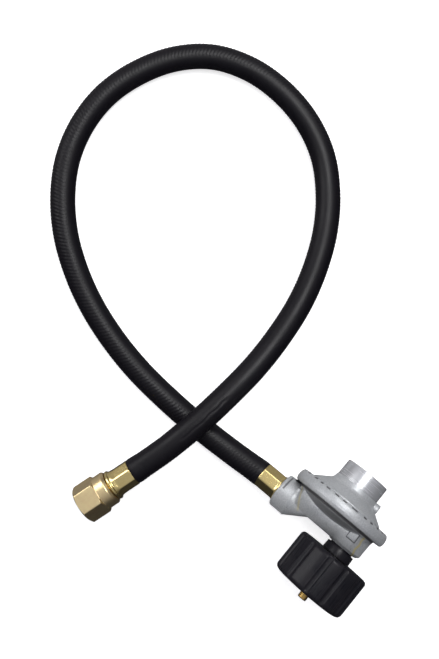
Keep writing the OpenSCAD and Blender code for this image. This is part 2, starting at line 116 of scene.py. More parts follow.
# The middle of the hose, from inside the regulator's ferrule to inside the flare end's. The second
# point is in the mouth of the first ferrule, and the last but one in the mouth of the other.
ROUTE = [
    (0.0002, 0.0306, 0.0209), (0.0002, 0.0417, 0.0173), (-0.0015, 0.066, 0.0112),
    (-0.0025, 0.0915, 0.0082), (-0.002, 0.1165, 0.008), (0, 0.142, 0.008), (0.0045, 0.1665, 0.008),
    (0.012, 0.191, 0.008), (0.0225, 0.2135, 0.008), (0.0365, 0.2345, 0.008), (0.0545, 0.2525, 0.008),
    (0.0755, 0.266, 0.008), (0.0992, 0.2734, 0.008), (0.124, 0.2742, 0.008), (0.1485, 0.2677, 0.008),
    (0.1705, 0.2555, 0.008), (0.1875, 0.2375, 0.008), (0.197, 0.214, 0.008), (0.199, 0.189, 0.008),
    (0.1945, 0.164, 0.008), (0.1835, 0.1415, 0.008), (0.166, 0.123, 0.009), (0.1455, 0.109, 0.011),
    (0.1225, 0.099, 0.014), (0.0985, 0.0925, 0.0176), (0.0735, 0.0895, 0.0212),
    (0.0485, 0.089, 0.024), (0.0235, 0.091, 0.0253), (-0.0015, 0.0942, 0.0244),
    (-0.026, 0.0988, 0.0209), (-0.05, 0.1053, 0.0167), (-0.0625, 0.1089, 0.0152),
]
FLARE_AT = Vector(ROUTE[-2])


def regulator_place():
    """The middle of the diaphragm, with z up the tower and x towards the outlet."""
    low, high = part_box("bonnet")
    middle = (low + high) / 2
    moved = Matrix.Translation((high.x - TOWER_TOP, middle.y, middle.z))
    rolled = Matrix.Rotation(radians(90 - ROLL), 4, "X")
    return moved @ rolled @ Matrix.Rotation(radians(90), 4, "Y")


def inlet_place():
    """The axis of the cylinder connection, with z = 0 level with the diaphragm."""
    low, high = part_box("inlet_nipple")
    middle = (low + high) / 2
    along = regulator_place()
    along.translation.y = middle.y
    along.translation.z = middle.z
    return along


def outlet_place():
    """The axis of the outlet, with z = 0 level with the tower's axis."""
    return (
        regulator_place()
        @ Matrix.Translation((0, 0, -OUTLET_DROP))
        @ Matrix.Rotation(radians(90), 4, "Y")
    )


def flare_place():
    """The axis of the flare end, with z = 0 at the mouth of its ferrule."""
    heading = Matrix.Rotation(radians(FLARE_HEADING), 4, "Z")
    pitch = Matrix.Rotation(radians(90 + FLARE_PITCH), 4, "Y")
    return Matrix.Translation(FLARE_AT) @ heading @ pitch


REGULATOR = regulator_place()
INLET = inlet_place()
OUTLET = outlet_place()
FLARE = flare_place()

# ---- Shaping helpers ----


def smoothstep(low, high, x):
    """0 up to low and 1 from high on, with an easy rise between them. low may be above high."""
    t = min(1, max(0, (x - low) / (high - low)))
    return t * t * (3 - 2 * t)


def soft_min(a, b, width):
    """The smaller of a and b, with the corner between them rounded over a width."""
    share = min(1, max(0, 0.5 + 0.5 * (b - a) / width))
    return b + (a - b) * share - width * share * (1 - share)


def off_nearest(angle, count, start=0.0):
    """The angle from the nearest of count equal divisions of a turn."""
    step = 2 * pi / count
    return (angle - start + step / 2) % step - step / 2


def fillet_arc(last, corner, following, fillet, steps):
    """Points of the arc that rounds one corner of an outline."""
    to_last = last - corner
    to_next = following - corner
    half = to_last.angle(to_next) / 2
    reach = min(fillet * cos(half) / sin(half), 0.49 * to_last.length, 0.49 * to_next.length)
    radius = reach * sin(half) / cos(half)
    inward = (to_last.normalized() + to_next.normalized()).normalized()
    middle = corner + inward * radius / sin(half)
    first = corner + to_last.normalized() * reach - middle
    final = corner + to_next.normalized() * reach - middle
    sweep = atan2(first.cross(final), first.dot(final))
    points = []
    for k in range(steps + 1):
        a = sweep * k / steps
        across = first.x * cos(a) - first.y * sin(a)
        up = first.x * sin(a) + first.y * cos(a)
        points.append(middle + Vector((across, up)))
    return points


def rounded(profile, steps=5):
    """An outline of (r, z) or (r, z, fillet) in mm, with its fillets made into arcs, in metres."""
    points = []
    for i, entry in enumerate(profile):
        corner = Vector(entry[:2])
        if len(entry) == 2:
            points.append(corner)
            continue
        following = profile[(i + 1) % len(profile)]
        points += fillet_arc(Vector(profile[i - 1][:2]), corner, Vector(following[:2]), entry[2],
                             steps)
    return [tuple(point * MM) for point in points]


def filled(points, step):
    """The same outline, with no stretch between two points longer than a step."""
    fine = []
    for here, there in zip(points, points[1:] + points[:1]):
        here, there = Vector(here), Vector(there)
        pieces = max(1, round((there - here).length / step))
        fine += [tuple(here.lerp(there, k / pieces)) for k in range(pieces)]
    return fine


def travelled_along(points):
    """How far each point is from the first one along the line through them all."""
    travelled = [0]
    for a, b in zip(points, points[1:]):
        travelled.append(travelled[-1] + (Vector(b) - Vector(a)).length)
    return travelled


def ring_at(mesh, r, z, steps, reshape):
    """One ring of vertices round z, or a single vertex where the outline touches the axis."""
    if r < TINY:
        return [mesh.verts.new((0, 0, z))]
    ring = []
    for k in range(steps):
        a = 2 * pi * k / steps
        radius = reshape(r, z, a) if reshape else r
        ring.append(mesh.verts.new((radius * cos(a), radius * sin(a), z)))
    return ring


def join_rings(mesh, uv, here, there, around, along):
    """Faces between two rings. Their UVs run to around on one axis and between along on the other."""
    steps = max(len(here), len(there))
    if steps == 1:
        return
    for k in range(steps):
        corners = [(here[k % len(here)], k, along[0]), (here[(k + 1) % len(here)], k + 1, along[0]),
                   (there[(k + 1) % len(there)], k + 1, along[1]), (there[k % len(there)], k, along[1])]
        kept = []
        for corner in corners:
            if corner[0] not in [other[0] for other in kept]:
                kept.append(corner)
        face = mesh.faces.new([corner[0] for corner in kept])
        for loop, (_, step, distance) in zip(face.loops, kept):
            loop[uv].uv = (around * step / steps, distance)


def revolved(profile, steps=96, reshape=None):
    """A solid of revolution about z. reshape(r, z, angle) gives the radius at that angle."""
    mesh = bmesh.new()
    uv = mesh.loops.layers.uv.new("UVMap")
    rings = [ring_at(mesh, r, z, steps, reshape) for r, z in profile]
    closed = profile + profile[:1]
    travelled = travelled_along(closed)
    for i, (here, there) in enumerate(zip(rings, rings[1:] + rings[:1])):
        around = 2 * pi * max(closed[i][0], closed[i + 1][0])
        join_rings(mesh, uv, here, there, around, travelled[i:i + 2])
    bmesh.ops.recalc_face_normals(mesh, faces=mesh.faces)
    return mesh


def add_piece(name, mesh, body, materials, place=None, replaces=(), crease=35):
    """A piece from a bmesh, put in its place in the shared frame and made to ride on its body."""
    data = bpy.data.meshes.new(name)
    mesh.to_mesh(data)
    mesh.free()
    if place is not None:
        data.transform(place)
    for material in materials:
        data.materials.append(material)
    data.shade_smooth()
    data.set_sharp_from_angle(angle=radians(crease))
    piece = bpy.data.objects.new(name, data)
    bpy.context.scene.collection.objects.link(piece)
    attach(piece, body)
    if replaces:
        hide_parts(*replaces)
    return piece


# ---- Materials ----


def new_shader(name, color, metallic=0.0, roughness=0.5):
    """A material, its node tree and its main shader."""
    material = bpy.data.materials.new(name)
    material.use_nodes = True
    shader = material.node_tree.nodes["Principled BSDF"]
    shader.inputs["Base Color"].default_value = (*color, 1)
    shader.inputs["Metallic"].default_value = metallic
    shader.inputs["Roughness"].default_value = roughness
    return material, material.node_tree, shader


def add_node(tree, kind, **settings):
    """A node whose settings are the names of its inputs or of its own properties."""
    node = tree.nodes.new(kind)
    for key, value in settings.items():
        if key in node.inputs:
            node.inputs[key].default_value = value
        else:
            setattr(node, key, value)
    return node


def placed_coordinates(tree, source, stretch):
    """Object or UV coordinates, scaled by a stretch along each axis if there is one."""
    place = add_node(tree, "ShaderNodeTexCoord")
    if stretch is None:
        return place.outputs[source]
    mapping = add_node(tree, "ShaderNodeMapping")
    mapping.inputs["Scale"].default_value = stretch
    tree.links.new(place.outputs[source], mapping.inputs["Vector"])
    return mapping.outputs["Vector"]


def noise_from(tree, source, scale, detail=2.0, stretch=None):
    """A noise texture on the object's own coordinates or on its UV map."""
    noise = add_node(tree, "ShaderNodeTexNoise", Scale=scale, Detail=detail)
    tree.links.new(placed_coordinates(tree, source, stretch), noise.inputs["Vector"])
    return noise.outputs["Fac"]


def with_alpha(tone):
    """A colour or a grey as a colour with alpha."""
    return (*tone, 1) if isinstance(tone, tuple) else (tone, tone, tone, 1)


def ramp_between(tree, factor, low, high, start=0.3, end=0.7):
    """Colours or greys that run from low to high as factor runs from start to end."""
    ramp = add_node(tree, "ShaderNodeValToRGB")
    ramp.color_ramp.elements[0].position = start
    ramp.color_ramp.elements[1].position = end
    ramp.color_ramp.elements[0].color = with_alpha(low)
    ramp.color_ramp.elements[1].color = with_alpha(high)
    tree.links.new(factor, ramp.inputs["Fac"])
    return ramp.outputs["Color"]


def mixed(tree, factor, first, second, blend="MIX"):
    """Two colour outputs, or an output and a plain colour, mixed by a factor output or a number."""
    mix = add_node(tree, "ShaderNodeMix", data_type="RGBA", blend_type=blend)
    for socket, value in ((mix.inputs[0], factor), (mix.inputs[6], first), (mix.inputs[7], second)):
        if isinstance(value, bpy.types.NodeSocket):
            tree.links.new(value, socket)
        else:
            socket.default_value = value
    return mix.outputs[2]


def add_bump(tree, shader, height, strength, distance):
    """Bump a shader's surface by a height output, over a distance in metres."""
    bump = add_node(tree, "ShaderNodeBump", Strength=strength, Distance=distance)
    tree.links.new(height, bump.inputs["Height"])
    tree.links.new(bump.outputs["Normal"], shader.inputs["Normal"])


def pits_from(tree, scale, size):
    """Black at small pits scattered one to a cell, and white elsewhere."""
    cells = add_node(tree, "ShaderNodeTexVoronoi", Scale=scale, Randomness=1.0)
    tree.links.new(placed_coordinates(tree, "Object", None), cells.inputs["Vector"])
    return ramp_between(tree, cells.outputs["Distance"], 0.0, 1.0, size * 0.6, size)


def cast_metal():
    """Die-cast zinc, tumbled to a satin grey: fine speckle, a few pits, warm worn parting lines."""
    material, tree, shader = new_shader("cast_metal", (0.33, 0.34, 0.35), 0.32, 0.42)
    speckle = noise_from(tree, "Object", 1500, 3)
    cloud = noise_from(tree, "Object", 140, 2)
    pits = pits_from(tree, 170, 0.045)
    speckled = ramp_between(tree, speckle, (0.3, 0.315, 0.33), (0.54, 0.55, 0.56), 0.35, 0.65)
    clouded = ramp_between(tree, cloud, (0.37, 0.385, 0.4), (0.43, 0.44, 0.45))
    grey = mixed(tree, 0.5, speckled, clouded)
    seam = add_node(tree, "ShaderNodeAttribute", attribute_name="seam")
    worn = mixed(tree, seam.outputs["Fac"], grey, (0.5, 0.44, 0.24, 1))
    pitted = mixed(tree, 0.75, worn, pits, "MULTIPLY")
    # Painted shade: an attribute darkens the colour almost to black in the crimp marks, on the bowl,
    # round the pad and in the slot.
    painted_shade = add_node(tree, "ShaderNodeAttribute", attribute_name="painted_shade")
    shaded = mixed(tree, painted_shade.outputs["Fac"], pitted, (0.035, 0.032, 0.033, 1))
    tree.links.new(shaded, shader.inputs["Base Color"])
    tree.links.new(ramp_between(tree, cloud, 0.37, 0.46), shader.inputs["Roughness"])
    add_bump(tree, shader, speckle, 0.35, 0.00006)
    return material


def machined_metal():
    """Turned die casting: bright, with fine rings round the tower's axis, which lies along X."""
    material, tree, shader = new_shader("machined_metal", (0.55, 0.56, 0.58), 0.6, 0.34)
    rings = noise_from(tree, "Object", 700, 2, stretch=(4, 0.05, 0.05))
    cloud = noise_from(tree, "Object", 90, 2)
    tree.links.new(ramp_between(tree, rings, 0.23, 0.28), shader.inputs["Roughness"])
    tree.links.new(ramp_between(tree, cloud, (0.52, 0.53, 0.55), (0.58, 0.59, 0.61)),
                   shader.inputs["Base Color"])
    add_bump(tree, shader, rings, 0.015, 0.00002)
    return material


def brass(name, color, tarnish, low, high, bump):
    """Turned brass: fine marks round its axis from the UV map, a patchy gloss and some tarnish."""
    material, tree, shader = new_shader(name, color, 1.0, high)
    marks = noise_from(tree, "UV", 900, 2, stretch=(0.04, 2, 1))
    patches = noise_from(tree, "Object", 120, 2)
    stains = noise_from(tree, "Object", 420, 3)
    tree.links.new(ramp_between(tree, marks, low, high), shader.inputs["Roughness"])
    tone = mixed(tree, 0.5, ramp_between(tree, patches, color, tarnish, 0.4, 0.75),
                 ramp_between(tree, stains, color, tarnish, 0.45, 0.8))
    tree.links.new(tone, shader.inputs["Base Color"])
    add_bump(tree, shader, marks, bump, 0.00002)
    return material


def steel():
    """Zinc-plated steel, for the springs, the lever and the small parts inside."""
    material, tree, shader = new_shader("steel", (0.55, 0.56, 0.58), 1.0, 0.32)
    grain = noise_from(tree, "Object", 1200, 3)
    tree.links.new(ramp_between(tree, grain, 0.26, 0.4), shader.inputs["Roughness"])
    tree.links.new(ramp_between(tree, grain, (0.5, 0.51, 0.53), (0.6, 0.61, 0.63)),
                   shader.inputs["Base Color"])
    add_bump(tree, shader, grain, 0.1, 0.00003)
    return material


def black_plastic():
    """Moulded black nylon: faint pebble, semi-gloss, with fine scuffs along its length."""
    material, tree, shader = new_shader("black_plastic", (0.012, 0.012, 0.015), 0.0, 0.36)
    shader.inputs["Specular IOR Level"].default_value = 0.17
    pebble = noise_from(tree, "Object", 1300, 2)
    cloud = noise_from(tree, "Object", 110, 2)
    scuffs = noise_from(tree, "Object", 500, 2, stretch=(0.15, 2, 2))
    gloss = mixed(tree, 0.5, ramp_between(tree, cloud, 0.25, 0.31),
                  ramp_between(tree, scuffs, 0.24, 0.36))
    tree.links.new(gloss, shader.inputs["Roughness"])
    tree.links.new(ramp_between(tree, cloud, (0.008, 0.008, 0.011), (0.014, 0.013, 0.016)),
                   shader.inputs["Base Color"])
    add_bump(tree, shader, pebble, 0.12, 0.00005)
    return material


def hose_rubber():
    """Extruded black rubber with a fine grain and chalky dust. Its ribs are in the mesh."""
    material, tree, shader = new_shader("hose_rubber", (0.012, 0.011, 0.013), 0.0, 0.4)
    shader.inputs["Specular IOR Level"].default_value = 0.26
    grain = noise_from(tree, "Object", 2200, 3)
    cloud = noise_from(tree, "Object", 60, 2)
    dust = noise_from(tree, "Object", 380, 3)
    tree.links.new(ramp_between(tree, cloud, 0.39, 0.47), shader.inputs["Roughness"])
    tone = ramp_between(tree, grain, (0.0022, 0.0018, 0.0032), (0.0048, 0.004, 0.0066))
    dusty = mixed(tree, ramp_between(tree, dust, 0.0, 0.25, 0.55, 0.85), tone, (0.013, 0.011, 0.014, 1))
    tree.links.new(dusty, shader.inputs["Base Color"])
    add_bump(tree, shader, grain, 0.15, 0.00004)
    return material


def soft_rubber():
    """Moulded rubber with a dull grain, for the diaphragm and the seals."""
    material, tree, shader = new_shader("soft_rubber", (0.02, 0.02, 0.022), 0.0, 0.6)
    grain = noise_from(tree, "Object", 1500, 2)
    tree.links.new(ramp_between(tree, grain, 0.5, 0.66), shader.inputs["Roughness"])
    tree.links.new(ramp_between(tree, grain, (0.014, 0.014, 0.016), (0.026, 0.026, 0.028)),
                   shader.inputs["Base Color"])
    add_bump(tree, shader, grain, 0.15, 0.00004)
    return material


CAST = cast_metal()
MACHINED = machined_metal()
BRASS = brass("polished_brass", (0.93, 0.76, 0.34), (0.85, 0.66, 0.27), 0.17, 0.19, 0.01)
NUT_BRASS = brass("satin_brass", (0.97, 0.79, 0.44), (0.88, 0.66, 0.36), 0.3, 0.38, 0.08)
PROBE_BRASS = brass("probe_brass", (0.72, 0.49, 0.15), (0.5, 0.3, 0.1), 0.2, 0.3, 0.04)
STEEL = steel()
PLASTIC = black_plastic()
HOSE = hose_rubber()
RUBBER = soft_rubber()

SLOT_LOOKS = {
    "casting": CAST, "brass": BRASS, "nut_brass": NUT_BRASS, "steel": STEEL,
    "black_plastic": PLASTIC, "nut_plastic": PLASTIC, "black_rubber": RUBBER, "hose_rubber": HOSE,
}


def dress_cad_nodes():
    """Give each CAD node the look of its material slot."""
    for entry in frame["record"]["subparts"]:
        data = nodes[entry["node"]].data
        data.materials.clear()
        data.materials.append(SLOT_LOOKS[entry["material_slot"]])


dress_cad_nodes()

# ---- Lower body: the CAD casting with soft cast edges, a true rolled rim and its crimp marks ----

CAST_VOXEL = 0.45 * MM
CAST_SMOOTHING = 5
RIM = rounded([
    (25.4, 2.5), (25.4, 4.1, 0.3), (31.3, 4.1, 1.1), (32.3, 2.4, 1.2), (32.7, 0.3, 0.5),
    (32.7, -1.8, 1.2), (31.9, -4, 0.5), (27.4, -4.2, 0.3)
], steps=8)
RIM_INNER_R = 25.3 * MM
RIM_UNDERSIDE = -3.6 * MM
RIM_NEAR = 0.8 * MM             # points this near the rim's outline are put on it
# The bowl's outside from under the rim to its middle: radius and height
BOWL = [(27.2 * MM, -3.6 * MM), (27 * MM, -6 * MM), (20 * MM, -9 * MM), (12 * MM, -10.9 * MM),
        (0, -11.6 * MM)]
CRIMP_MARKS = 30
CRIMP_MARK_AT = (31.45 * MM, 3.75 * MM)
CRIMP_MARK_DEPTH = 0.75 * MM
CRIMP_MARK_HALF = 1.8 * MM      # half of a mark's length round the rim
CRIMP_MARK_FIRST = 96           # degrees

# The arm, its bosses and their marks, in mm
ARM_BOTTOM = -17.4              # height at which the arm's rounded underside ends
ARM_HALF = 9.8
ARM_SPAN = (-26, 26.5)          # from the inlet boss to the outlet boss, along x
ARM_INSIDE = 8.2                # points nearer to the middle than this are inside the arm
ARM_DRAFT = 0.72                # share of the way to the bowl that the flank goes at the inlet
INLET_BOSS_R = 11.9
INLET_X = -15
WEB_LOW = (1.5, -9.9)           # lowest point of the edge where the flank meets the bowl: x and z
WEB_RISE = 3.8                  # how far that edge rises over WEB_HALF to either side
WEB_HALF = 20.5
PAD_AT = (-16.8, -8.9)          # middle of the square pad on the inlet boss: x and z
PAD_HALF = (2.7, 2.6)
PAD_RISE = 0.7
OUTLET_FROM = 24                # where the outlet boss starts
OUTLET_SKIN_R = 9.4             # points further from its axis than this are on its outside
RIDGE_X = 25.8
RIDGE_HEIGHT = 0.22
SLOT_X = 33.2
SLOT_DEPTH = 0.5
SLOT_SPAN = (-14, -5)           # from its lower to its upper end, along z


def softened(node, place, voxel, passes):
    """A copy of a CAD node's mesh, in its own frame, with every edge rounded as a casting's is."""
    data = nodes[node].data.copy()
    data.transform(place.inverted())
    data.materials.clear()
    shape = bpy.data.objects.new(node + "_soft", data)
    bpy.context.scene.collection.objects.link(shape)
    remesh = shape.modifiers.new("remesh", "REMESH")
    remesh.mode = "VOXEL"
    remesh.voxel_size = voxel
    smooth = shape.modifiers.new("smooth", "SMOOTH")
    smooth.factor = 0.5
    smooth.iterations = passes
    bpy.context.view_layer.update()
    mesh = bmesh.new()
    mesh.from_object(shape, bpy.context.evaluated_depsgraph_get())
    bpy.data.objects.remove(shape)
    bpy.data.meshes.remove(data)
    return mesh


def nearest_on(outline, r, z):
    """The point of an open outline nearest to (r, z), and how far away it is."""
    best, gap = None, 1.0
    point = Vector((r, z))
    for a, b in zip(outline, outline[1:]):
        a, b = Vector(a), Vector(b)
        along = b - a
        share = min(1, max(0, (point - a).dot(along) / along.length_squared))
        near = a + share * along
        if (point - near).length < gap:
            best, gap = near, (point - near).length
    return best, gap


def bowl_height(r):
    """Height of the bowl's outside at a radius."""
    for outer, inner in zip(BOWL, BOWL[1:]):
        if r >= inner[0]:
            share = (r - inner[0]) / (outer[0] - inner[0])
            return inner[1] + share * (outer[1] - inner[1])
    return BOWL[-1][1]


def bowl_radius(z):
    """Radius of the bowl's outside at a height."""
    for (r_out, z_out), (r_in, z_in) in zip(BOWL, BOWL[1:]):
        if z >= z_in:
            share = (z - z_in) / (z_out - z_in)
            return min(BOWL[0][0], r_in + share * (r_out - r_in))
    return 0


def web_top(x):
    """Height in mm at which the arm's flank runs out into the bowl."""
    rise = WEB_RISE * ((x - WEB_LOW[0]) / WEB_HALF) ** 2
    return min(RIM_UNDERSIDE / MM, WEB_LOW[1] + rise)


def web_reach(x, z):
    """How far the arm's flank stands out sideways, in mm: steep below, easing into the bowl."""
    top = web_top(x)
    base = ARM_HALF if x > -8 else sqrt(max(0, INLET_BOSS_R ** 2 - (x - INLET_X) ** 2))
    bowl = sqrt(max(0, (bowl_radius(top * MM) / MM) ** 2 - x * x))
    share = ARM_DRAFT + (1 - ARM_DRAFT) * smoothstep(-14, -5, x)
    share *= 1 - smoothstep(21.5, 25.5, x)
    t = min(1, max(0, (z - ARM_BOTTOM) / (top - ARM_BOTTOM)))
    return base + share * max(0, bowl - base) * (1 - (1 - t) ** 2)


def pad_distance(x, z):
    """Distance in mm outside the square pad on the inlet boss; negative on it."""
    return max(abs(x - PAD_AT[0]) - PAD_HALF[0], abs(z - PAD_AT[1]) - PAD_HALF[1])


def refine_pad(mesh):
    """Split the faces round the pad on the camera's side, so that its edge comes out sharp."""
    near = [edge for edge in mesh.edges
            if all(v.co.y > 9 * MM and pad_distance(v.co.x / MM, v.co.z / MM) < 1.2
                   for v in edge.verts)]
    bmesh.ops.subdivide_edges(mesh, edges=near, cuts=1, use_grid_fill=True)


def shape_web(mesh):
    """Draw the arm's flanks out to the bowl, as the casting's draft does, and raise the pad."""
    refine_pad(mesh)
    for vert in mesh.verts:
        x, y, z = vert.co / MM
        if not ARM_SPAN[0] < x < ARM_SPAN[1] or not ARM_BOTTOM < z < web_top(x):
            continue
        if abs(y) <= ARM_INSIDE or z > bowl_height(hypot(x, y) * MM) / MM + 0.6:
            continue
        reach = web_reach(x, z)
        if y > 0:
            reach += PAD_RISE * (1 - smoothstep(-0.25, 0.1, pad_distance(x, z)))
        vert.co.y = max(abs(y), reach) * (MM if y > 0 else -MM)


def slot_share(x, y, z):
    """1 in the slot beside the outlet's face, and 0 away from it."""
    if y < 0 or not SLOT_SPAN[0] < z < SLOT_SPAN[1]:
        return 0
    return 1 - smoothstep(0.25, 0.6, abs(x - SLOT_X))


def shape_outlet(mesh):
    """A ridge where the outlet boss's straight end starts, and a slot beside its face."""
    for vert in mesh.verts:
        x, y, z = vert.co / MM
        if x < OUTLET_FROM or z > -4.2:
            continue
        out = Vector((0, y, z + OUTLET_DROP / MM))
        if out.length < OUTLET_SKIN_R:
            continue
        ridge = (1 - smoothstep(0.2, 0.7, abs(x - RIDGE_X))) * smoothstep(-6.5, -8.5, z)
        lift = RIDGE_HEIGHT * ridge - SLOT_DEPTH * slot_share(x, y, z)
        vert.co += out.normalized() * lift * MM


def mark_offset(angle):
    """Angle from the nearest crimp mark: they are hand-fed, so their spacing wanders."""
    wander = 0.03 * sin(5 * angle) + 0.02 * sin(11 * angle + 1)
    return abs(off_nearest(angle + wander, CRIMP_MARKS, radians(CRIMP_MARK_FIRST)))


def mark_length_share(r, angle):
    """1 within the length of a crimp mark, and 0 between marks."""
    along = mark_offset(angle) * r
    return 1 - smoothstep(0.6 * CRIMP_MARK_HALF, CRIMP_MARK_HALF, along)


def crimp_mark(r, z, angle):
    """How far a staking mark pushes the rim's shoulder in."""
    across = hypot(r - CRIMP_MARK_AT[0], z - CRIMP_MARK_AT[1])
    width_share = 1 - smoothstep(0.35 * MM, 0.95 * MM, across)
    return CRIMP_MARK_DEPTH * width_share * mark_length_share(r, angle)


def refine_shoulder(mesh):
    """Split the faces of the rim's shoulder, so that the crimp marks come out sharp."""
    shoulder = [edge for edge in mesh.edges
                if all(hypot(v.co.x, v.co.y) > 30 * MM and v.co.z > 2.2 * MM for v in edge.verts)]
    bmesh.ops.subdivide_edges(mesh, edges=shoulder, cuts=2, use_grid_fill=True)


def shape_rim(mesh):
    """Put the rim's points on its true outline and press the crimp marks into its shoulder."""
    refine_shoulder(mesh)
    for vert in mesh.verts:
        r = hypot(vert.co.x, vert.co.y)
        if r < RIM_INNER_R or vert.co.z < RIM_UNDERSIDE:
            continue
        near, gap = nearest_on(RIM, r, vert.co.z)
        if gap > RIM_NEAR:
            continue
        angle = atan2(vert.co.y, vert.co.x)
        push = crimp_mark(near.x, near.y, angle)
        radius = near.x - 0.6 * push
        vert.co = Vector((radius * cos(angle), radius * sin(angle), near.y - 0.8 * push))


def seam_strength(x, y, z):
    """Parting lines: one down the inlet boss and one where the outlet boss leaves the arm."""
    if y < 4 or not -18.6 < z < -5.5:
        return 0
    inlet_line = 1 - smoothstep(0.3, 0.8, abs(x + 22.4 + 0.25 * sin(z)))
    outlet_line = 0.7 * (1 - smoothstep(0.3, 0.9, abs(x - 24.6 - 0.5 * (z + 6))))
    return max(inlet_line, outlet_line)


def mark_shade(x, y, z):
    """Painted shade in the crimp marks, a little below their middle."""
    r = hypot(x, y) * MM
    across = hypot(r - CRIMP_MARK_AT[0] + 0.3 * MM, z * MM - CRIMP_MARK_AT[1] + 0.4 * MM)
    width_share = 1 - smoothstep(0.5 * MM, 0.95 * MM, across)
    return 0.85 * width_share * mark_length_share(r, atan2(y, x))


def bowl_shade(x, y, z):
    """Painted shade on the bowl above the arm, and a darker painted shadow line in the corner under the
    rim.
    """
    r = hypot(x, y) * MM
    gap = nearest_on(BOWL, r, z * MM)[1]
    bowl = 0.55 * (1 - smoothstep(0.4 * MM, 0.9 * MM, gap))
    if abs(x) < 26:
        bowl *= smoothstep(0.1, 0.5, z - web_top(x))
    under_rim = 26.5 * MM < r < 31.5 * MM
    corner = 0.9 * (1 - smoothstep(0.5, 1.1, abs(z + 4.6))) if under_rim else 0
    return max(bowl, corner)


def pad_shade(x, y, z):
    """Painted shade round the edge of the square pad."""
    if y <= 9 or z >= web_top(x):
        return 0
    return 0.75 * (1 - smoothstep(0.15, 0.35, abs(pad_distance(x, z) - 0.25)))


def painted_shade_strength(x, y, z):
    """Painted shade in the crimp marks, on the bowl, round the pad and in the slot."""
    return max(mark_shade(x, y, z), bowl_shade(x, y, z), pad_shade(x, y, z),
               0.7 * slot_share(x, y, z))


def mark_surface(data):
    """Say how strong the parting lines and the painted shade are at each point of the mesh."""
    seam = data.attributes.new("seam", "FLOAT", "POINT")
    painted_shade = data.attributes.new("painted_shade", "FLOAT", "POINT")
    for i, vert in enumerate(data.vertices):
        x, y, z = vert.co / MM
        seam.data[i].value = seam_strength(x, y, z)
        painted_shade.data[i].value = painted_shade_strength(x, y, z)


def add_casting():
    """The die-cast lower body, which the rim holds to the bonnet."""
    mesh = softened("lower_body", REGULATOR, CAST_VOXEL, CAST_SMOOTHING)
    shape_rim(mesh)
    shape_web(mesh)
    shape_outlet(mesh)
    casting = add_piece("lower_casting", mesh, "regulator", [CAST], replaces=["lower_body"],
                        crease=50)
    mark_surface(casting.data)
    casting.data.transform(REGULATOR)


add_casting()

# ---- Bonnet: cast cone, turned tower, vent boss ----

TURNED_FROM = 15.2 * MM     # height at which the tower's turned stretch starts
VENT_HEIGHT = 12.3 * MM
VENT_FROM = 13 * MM         # distance from the tower's axis to where the vent boss starts


def joined(meshes, places):
    """Several bmeshes as one, each put in its place."""
    whole = bmesh.new()
    whole.loops.layers.uv.new("UVMap")
    for mesh, place in zip(meshes, places):
        part = bpy.data.meshes.new("part")
        mesh.to_mesh(part)
        mesh.free()
        part.transform(place)
        whole.from_mesh(part)
        bpy.data.meshes.remove(part)
    return whole


def add_bonnet():
    """The bonnet with its spring tower, and the vent boss on the side away from the outlet."""
    shell = revolved(rounded([
        (23, 0.3), (29.5, 0.3), (29.5, 2.5), (24.9, 2.5), (24.9, 4.9, 0.4), (24.3, 5.4, 0.3),
        (16.2, 10.9, 3), (15.2, 12.6, 2), (14.85, 15.15, 0.1), (14.5, 15.3), (14.5, 25.8, 0.5),
        (12.7, 25.8, 0.2), (12.6, 10.8), (14, 9.4), (23, 3.2)
    ], steps=6), steps=160)
    vent = revolved(rounded([
        (0, 0), (3.2, 0), (3.2, 5, 0.5), (2.1, 5, 0.2), (1.9, 3.5), (0, 3.5)
    ]), steps=48)
    vent_turn = Matrix.Rotation(radians(-90), 4, "Y")
    vent_place = Matrix.Translation((-VENT_FROM, 0, VENT_HEIGHT)) @ vent_turn
    mesh = joined([shell, vent], [Matrix.Identity(4), vent_place])
    for face in mesh.faces:
        face.material_index = 1 if face.calc_center_median().z > TURNED_FROM else 0
    add_piece("bonnet_shell", mesh, "regulator", [CAST, MACHINED], REGULATOR, ["bonnet"])


add_bonnet()

# ---- Cylinder connection ----

NUT_R = 24.2 * MM
NUT_TOP = -25.3 * MM
NUT_BOTTOM = -52.5 * MM
FLUTE_R = 2.3 * MM
FLUTE_AT = 25.4 * MM
FLUTE_PAIR_TURN = 105       # degrees to the middle of the first pair of flutes
FLUTE_PAIR_HALF = 13.5      # degrees from the middle of a pair to each flute
TANK_THREAD_R = 14.56 * MM
TANK_THREAD_PITCH = 4.23 * MM
TANK_THREAD_DEPTH = 2.1 * MM
TANK_THREAD_TOP = -34.5 * MM
NUT_SKIN_R = 17.3 * MM      # points further out than this are on the grip


def flute_radius(z, angle):
    """Radius of the hand nut's grip at an angle: flutes in pairs that fade out at both ends."""
    middle = off_nearest(angle, 6, radians(FLUTE_PAIR_TURN))
    off = abs(middle) - radians(FLUTE_PAIR_HALF)
    across = FLUTE_AT * sin(off)
    if abs(across) >= FLUTE_R:
        return NUT_R
    groove = FLUTE_AT * cos(off) - sqrt(FLUTE_R ** 2 - across ** 2)
    fade = smoothstep(NUT_BOTTOM + 0.4 * MM, NUT_BOTTOM + 2.6 * MM, z)
    fade *= 1 - smoothstep(NUT_TOP - 2 * MM, NUT_TOP - 0.3 * MM, z)
    return NUT_R - fade * (NUT_R - soft_min(NUT_R, groove, 0.22 * MM))


def thread_radius(z, angle, crest, pitch, depth):
    """Radius of a right-hand inside thread with sloping flanks."""
    phase = (z / pitch - angle / (2 * pi)) % 1
    return crest + depth * smoothstep(0.18, 0.32, 0.5 - abs(phase - 0.5))


